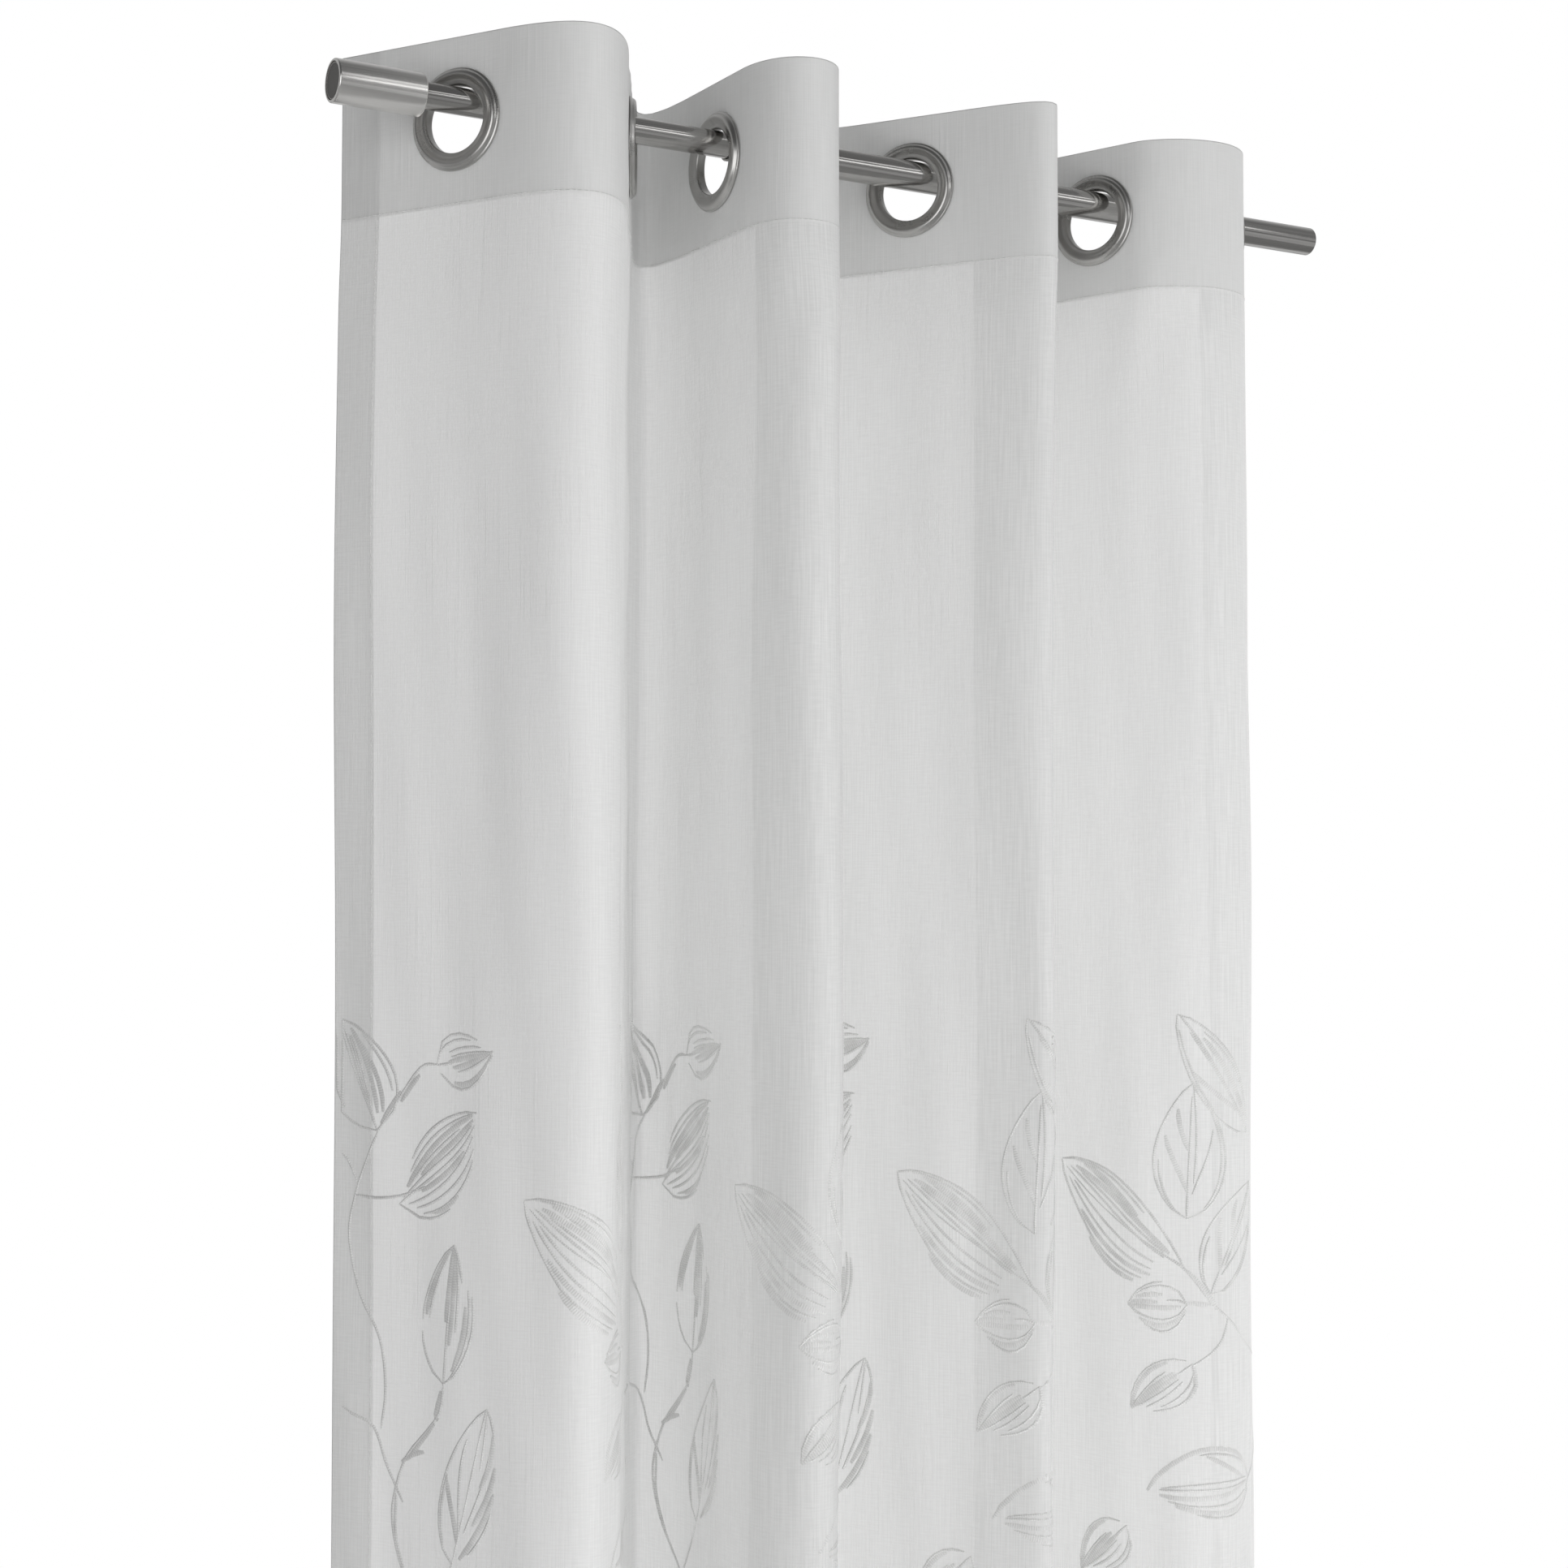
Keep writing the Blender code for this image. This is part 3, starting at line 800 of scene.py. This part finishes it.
def front_ring():
    ring = begin_cylinder("ring_front", RING_RADIUS, 0.0004, FRONT_SEAT, RING_SIDES)
    only_select(ring.data, lambda middle, normal: normal.z > 0.9)
    radius, height = RING_RADIUS, 0.0004
    for next_radius, next_height in RING_FACE:
        bpy.ops.mesh.inset(thickness=radius - next_radius, depth=next_height - height)
        radius, height = next_radius, next_height
    only_select(ring.data, lambda middle, normal: normal.z < -0.9)
    bpy.ops.mesh.inset(thickness=RING_RADIUS - COLLAR_RADIUS, depth=0.0)
    bpy.ops.mesh.extrude_region_move(
        TRANSFORM_OT_translate={"value": (0, 0, -COLLAR_END - FRONT_SEAT)}
    )
    bpy.ops.mesh.inset(thickness=COLLAR_RADIUS - BORE_RADIUS, depth=0.0)
    open_bore(ring)
    end_shaping()
    return ring


def back_ring():
    low = BACK_SEAT - BACK_THICKNESS
    ring = begin_cylinder("ring_back", RING_RADIUS, BACK_THICKNESS, low, RING_SIDES)
    only_select(ring.data, lambda middle, normal: normal.z < -0.9)
    bpy.ops.mesh.bevel(offset=0.0006, segments=3, affect="EDGES")
    only_select(ring.data, lambda middle, normal: normal.z < -0.99)
    bpy.ops.mesh.inset(thickness=0.0060, depth=0.0)
    bpy.ops.mesh.inset(thickness=RING_RADIUS - 0.0066 - BACK_BORE, depth=-0.0003)
    only_select(ring.data, lambda middle, normal: normal.z > 0.99)
    bpy.ops.mesh.inset(thickness=RING_RADIUS - BACK_BORE, depth=0.0)
    open_bore(ring)
    end_shaping()
    return ring


def nickel_finish():
    nickel = Finish("satin_nickel")
    place = nickel.node("ShaderNodeTexCoord", {}, {}, output="Object")
    cloudy = nickel.between(nickel.noise(place, 45.0, 3.0), 0.3, 0.7)
    grain = nickel.noise(place, 2600.0, 2.0)
    colour = nickel.shades(cloudy, (0.50, 0.494, 0.482), (0.57, 0.564, 0.552))
    sockets = {
        "Base Color": colour,
        "Metallic": 1.0,
        "Roughness": 0.24 + cloudy * 0.05 + grain * 0.05,
        "Normal": nickel.bump(grain, 0.00002, 0.35),
    }
    return nickel.surface(nickel.principled(sockets))


satin_nickel = nickel_finish()
ring_parts = (("front", front_ring()), ("back", back_ring()))
for row, (x, lean, *_) in enumerate(EYELETS):
    way = cloth_way(row, lean)
    along, out = Vector((way[0], way[1], 0.0)), Vector((way[1], -way[0], 0.0))
    place = Matrix((along, out.cross(along), out)).transposed().to_4x4()
    place.translation = (x, 0.0, hang_height(x, way))
    for side, part in ring_parts:
        mesh = part.data.copy()
        mesh.transform(place)
        mesh.materials.clear()
        ring = add_piece(f"nickel_ring_{row + 1}_{side}", mesh, satin_nickel)
        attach(ring, "root")
        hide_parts(f"eyelet_{row + 1}_{side}")
for side, part in ring_parts:
    bpy.data.objects.remove(part)

# ---------------------------------------------------------------------------
# Rod
# Two steel tubes, the thin one sliding in the thick one, brushed along their length. The thick
# tube's end is left open, and the thin one ends in the turned cap.
# ---------------------------------------------------------------------------
ROD_SIDES = 96
ROD_HALF = 0.3615
WALL = 0.001
SLIDE_GAP = 0.0003
THIN_REACH = 0.150  # of the thin tube inside the thick one
CAP_LENGTH = 0.054
CAP_BORE_DEPTH = 0.044


def open_tube(name, radius, bore, start, end):
    tube = begin_cylinder(name, radius, end - start, start, ROD_SIDES, along_x=True)
    only_select(tube.data, lambda middle, normal: abs(normal.x) > 0.9)
    bpy.ops.mesh.bevel(offset=0.00025, segments=3, affect="EDGES")
    only_select(tube.data, lambda middle, normal: abs(normal.x) > 0.99)
    bpy.ops.mesh.inset(thickness=radius - 0.00025 - bore, depth=0.0)
    bpy.ops.mesh.delete(type="ONLY_FACE")
    bridge_open_loops(tube.data)
    end_shaping()
    return tube


def brushed_finish(name, dark, light, roughness):
    """Steel with fine brush marks along the rod."""
    steel = Finish(name)
    place = steel.node("ShaderNodeTexCoord", {}, {}, output="Object")
    brush = steel.noise(place, 2600.0, 2.0, 0.6, (0.004, 1.0, 1.0))
    wide = steel.noise(place, 420.0, 2.0, 0.6, (0.006, 1.0, 1.0))
    marks = steel.between(brush * 0.6 + wide * 0.4, 0.36, 0.64)
    sockets = {
        "Base Color": steel.shades(marks, dark, light),
        "Metallic": 1.0,
        "Roughness": roughness + marks * 0.07,
        "Normal": steel.bump(brush, 0.00002, 0.30),
    }
    return steel.surface(steel.principled(sockets))


# The tubes' steel is darker than the cap's: painted shade, standing in for the shaded cloth folds that
# the tubes mirror.
darkened_tube_steel = brushed_finish("darkened_tube_steel", (0.40, 0.393, 0.383), (0.50, 0.493, 0.482), 0.10)
left_end = -ROD_HALF
cap_floor = left_end + CAP_LENGTH - CAP_BORE_DEPTH
tubes = (
    ("slim_tube", THIN_RADIUS, THIN_RADIUS - WALL, cap_floor + SLIDE_GAP, STEP_X + THIN_REACH),
    ("wide_tube", THICK_RADIUS, THIN_RADIUS + SLIDE_GAP, STEP_X, ROD_HALF),
)
for (name, radius, bore, start, end), node in zip(tubes, ("rod_thin_tube", "rod_thick_tube")):
    tube = open_tube(name, radius, bore, start, end)
    tube.data.materials.clear()
    tube.data.materials.append(darkened_tube_steel)
    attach(tube, "root")
    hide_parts(node)

# ---------------------------------------------------------------------------
# End cap
# Turned from solid steel, bored for the thin tube and eased at both rims. A round plate of dark
# matte plastic is let into its outer end.
# ---------------------------------------------------------------------------
CAP_RADIUS = 0.01275
CAP_EDGE = 0.0011
DISC_RADIUS = 0.0108
DISC_DEPTH = 0.003
DISC_SINK = 0.0006


def end_cap():
    cap = begin_cylinder("turned_cap", CAP_RADIUS, CAP_LENGTH, left_end, ROD_SIDES, along_x=True)
    only_select(cap.data, lambda middle, normal: abs(normal.x) > 0.9)
    bpy.ops.mesh.bevel(offset=CAP_EDGE, segments=5, affect="EDGES")
    only_select(cap.data, lambda middle, normal: normal.x < -0.99)
    bpy.ops.mesh.inset(thickness=CAP_RADIUS - CAP_EDGE - DISC_RADIUS - SLIDE_GAP, depth=0.0)
    bpy.ops.mesh.inset(thickness=0.0, depth=-(DISC_SINK + DISC_DEPTH + SLIDE_GAP))
    only_select(cap.data, lambda middle, normal: normal.x > 0.99)
    bpy.ops.mesh.inset(thickness=CAP_RADIUS - CAP_EDGE - THIN_RADIUS - SLIDE_GAP, depth=0.0)
    bpy.ops.mesh.inset(thickness=0.0, depth=-CAP_BORE_DEPTH)
    end_shaping()
    return cap


def cap_disc():
    disc = begin_cylinder(
        "matte_disc", DISC_RADIUS, DISC_DEPTH, left_end + DISC_SINK, ROD_SIDES, along_x=True
    )
    only_select(disc.data, lambda middle, normal: normal.x < -0.9)
    bpy.ops.mesh.bevel(offset=0.00035, segments=3, affect="EDGES")
    only_select(disc.data, lambda middle, normal: normal.x < -0.99)
    bpy.ops.mesh.inset(thickness=0.0004, depth=0.0)
    bpy.ops.mesh.inset(thickness=0.0002, depth=-0.0002)
    end_shaping()
    return disc


def disc_finish():
    plastic = Finish("dark_matte_plastic")
    place = plastic.node("ShaderNodeTexCoord", {}, {}, output="Object")
    flat = plastic.node("ShaderNodeMapping", {}, {"Vector": place, "Scale": (0.0, 1.0, 1.0)})
    out = plastic.node(
        "ShaderNodeVectorMath", {"operation": "LENGTH"}, {0: flat}, output="Value"
    )
    rim = plastic.between(out, DISC_RADIUS - 0.0009, DISC_RADIUS - 0.0006)
    grain = plastic.noise(place, 1500.0, 3.0)
    tone = plastic.between(grain, 0.35, 0.65) * 0.2 + rim * 0.8
    sockets = {
        "Base Color": plastic.shades(tone, (0.085, 0.083, 0.08), (0.42, 0.41, 0.40)),
        "Roughness": 0.5 + grain * 0.15,
        "Normal": plastic.bump(grain, 0.00004, 0.5),
    }
    return plastic.surface(plastic.principled(sockets))


# The cap's steel is lighter than the tubes': a painted reflection, standing in for the bright open room
# that the cap mirrors at the rod's end.
brightened_cap_steel = brushed_finish("brightened_cap_steel", (0.73, 0.721, 0.705), (0.81, 0.801, 0.785), 0.20)
for piece, finish, node, slot in (
    (end_cap(), brightened_cap_steel, "rod_end_cap", "rod_steel"),
    (cap_disc(), disc_finish(), "rod_cap_disc", "cap_disc"),
):
    piece.data.materials.clear()
    piece.data.materials.append(finish)
    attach(piece, "root")
    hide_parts(node)

# ---------------------------------------------------------------------------
# Floor, light and camera
# A plain floor below the foot of the curtain, and a room that the camera sees as white. Broad soft
# lights stand round the curtain, strongest low in front and on the right, so that the cloth grows
# lighter downwards. Two narrow strips show in the rod. Four lights stand close to the floor and
# would draw bright bands on it, so they leave it out.
# ---------------------------------------------------------------------------
FLOOR_RADIUS = 4.5
CAMERA_PLACE = (-0.8878, -1.4275, -0.4796)
CAMERA_TURN = (92.98, 0.0, -29.98)
CAMERA_LENS = 61.34


def floor():
    bpy.ops.object.select_all(action="DESELECT")
    bpy.ops.mesh.primitive_circle_add(
        vertices=96, radius=FLOOR_RADIUS, fill_type="NGON", location=(0, 0, TOP_Z - DROP - 0.02)
    )
    ground = bpy.context.object
    ground.name = "pale_floor"
    bpy.ops.object.transform_apply(location=True, rotation=True, scale=True)
    pale = Finish("pale_floor")
    place = pale.node("ShaderNodeTexCoord", {}, {}, output="Object")
    tone = pale.noise(place, 3.0, 3.0)
    sockets = {
        "Base Color": pale.shades(tone, (0.85, 0.85, 0.845), (0.89, 0.89, 0.885)),
        "Roughness": 0.8,
    }
    ground.data.materials.append(pale.surface(pale.principled(sockets)))


def soft_light(name, place, aim, width, height, power, glossy=True, on_floor=True):
    """A rectangle of light. Shiny pieces mirror it if glossy, and it lights the floor if on_floor."""
    data = bpy.data.lights.new(name, "AREA")
    data.shape = "RECTANGLE"
    data.size, data.size_y = width, height
    data.energy = power
    light = bpy.data.objects.new(name, data)
    bpy.context.scene.collection.objects.link(light)
    light.location = place
    light.rotation_euler = (Vector(aim) - Vector(place)).to_track_quat("-Z", "Y").to_euler()
    light.visible_camera = False
    light.visible_glossy = glossy
    if not on_floor:
        left_out = bpy.data.collections.new(name + "_left_out")
        left_out.objects.link(bpy.data.objects["pale_floor"])
        light.light_linking.receiver_collection = left_out
        left_out.collection_objects[0].light_linking.link_state = "EXCLUDE"


def room_light():
    """White to the camera. As light it is a grey room, a little stronger behind and on the right,
    weaker above, and with a dark band just below the rod's height, which shows in the metal."""
    world = bpy.data.worlds.new("white_room")
    world.use_nodes = True
    room = Finish.__new__(Finish)
    room.tree = world.node_tree
    room.tree.nodes.clear()
    way = room.node("ShaderNodeTexCoord", {}, {}, output="Generated")
    split = {"Vector": way}
    x = room.node("ShaderNodeSeparateXYZ", {}, split, output="X")
    y = room.node("ShaderNodeSeparateXYZ", {}, split, output="Y")
    z = room.node("ShaderNodeSeparateXYZ", {}, split, output="Z")
    behind = room.between(y, -0.1, 0.75)
    above = room.between(z, -0.05, 0.30)
    right = room.between(x, -0.2, 0.7)
    gap = room.between(z, -0.17, -0.11) * (1.0 - room.between(z, -0.06, 0.0))
    strength = 0.35 + behind * 0.19 + right * 0.18 - above * (0.26 - behind * 0.18)
    strength = strength * (1.0 - 0.6 * gap)
    shown = room.node("ShaderNodeLightPath", {}, {}, output="Is Camera Ray")
    strength = strength + shown * (1.0 - strength)
    sky = room.node("ShaderNodeBackground", {}, {"Strength": strength})
    out = room.tree.nodes.new("ShaderNodeOutputWorld")
    room.tree.links.new(sky.socket, out.inputs["Surface"])
    sky.socket.node.inputs["Color"].default_value = (1.0, 1.0, 1.0, 1.0)
    bpy.context.scene.world = world


floor()
room_light()
soft_light(
    "front_soft", (0.9, -2.4, -1.4), (0.0, 0.0, -0.9), 2.0, 1.8, 19.5, glossy=False, on_floor=False
)
soft_light("left_soft", (-2.2, -2.0, -0.3), (0.0, 0.0, -0.6), 2.0, 2.0, 20.0)
soft_light("high_soft", (0.3, -2.6, 1.2), (0.0, 0.0, -0.2), 2.4, 1.4, 5.0, glossy=False)
soft_light(
    "low_soft", (0.4, -1.5, -2.38), (0.3, -0.8, 0.0), 3.2, 2.2, 54.0, glossy=False, on_floor=False
)
soft_light(
    "back_soft", (1.5, 2.0, -1.3), (0.1, 0.0, -0.9), 2.4, 1.8, 19.0, glossy=False, on_floor=False
)
soft_light(
    "side_soft", (2.6, 0.9, -1.2), (0.1, 0.0, -0.8), 2.0, 1.8, 44.0, glossy=False, on_floor=False
)
soft_light("rod_strip", (1.25, -2.2, 0.58), (0.0, 0.0, 0.0), 2.4, 0.28, 4.0)
soft_light("top_strip", (1.25, -2.2, 1.40), (0.0, 0.0, 0.0), 2.4, 0.30, 3.0)

camera_data = bpy.data.cameras.new("camera")
camera_data.lens = CAMERA_LENS
camera_data.sensor_width = 36.0
camera = bpy.data.objects.new("camera", camera_data)
camera.location = CAMERA_PLACE
camera.rotation_euler = [math.radians(turn) for turn in CAMERA_TURN]
bpy.context.scene.collection.objects.link(camera)
bpy.context.scene.camera = camera
bpy.context.scene.view_settings.view_transform = "Standard"
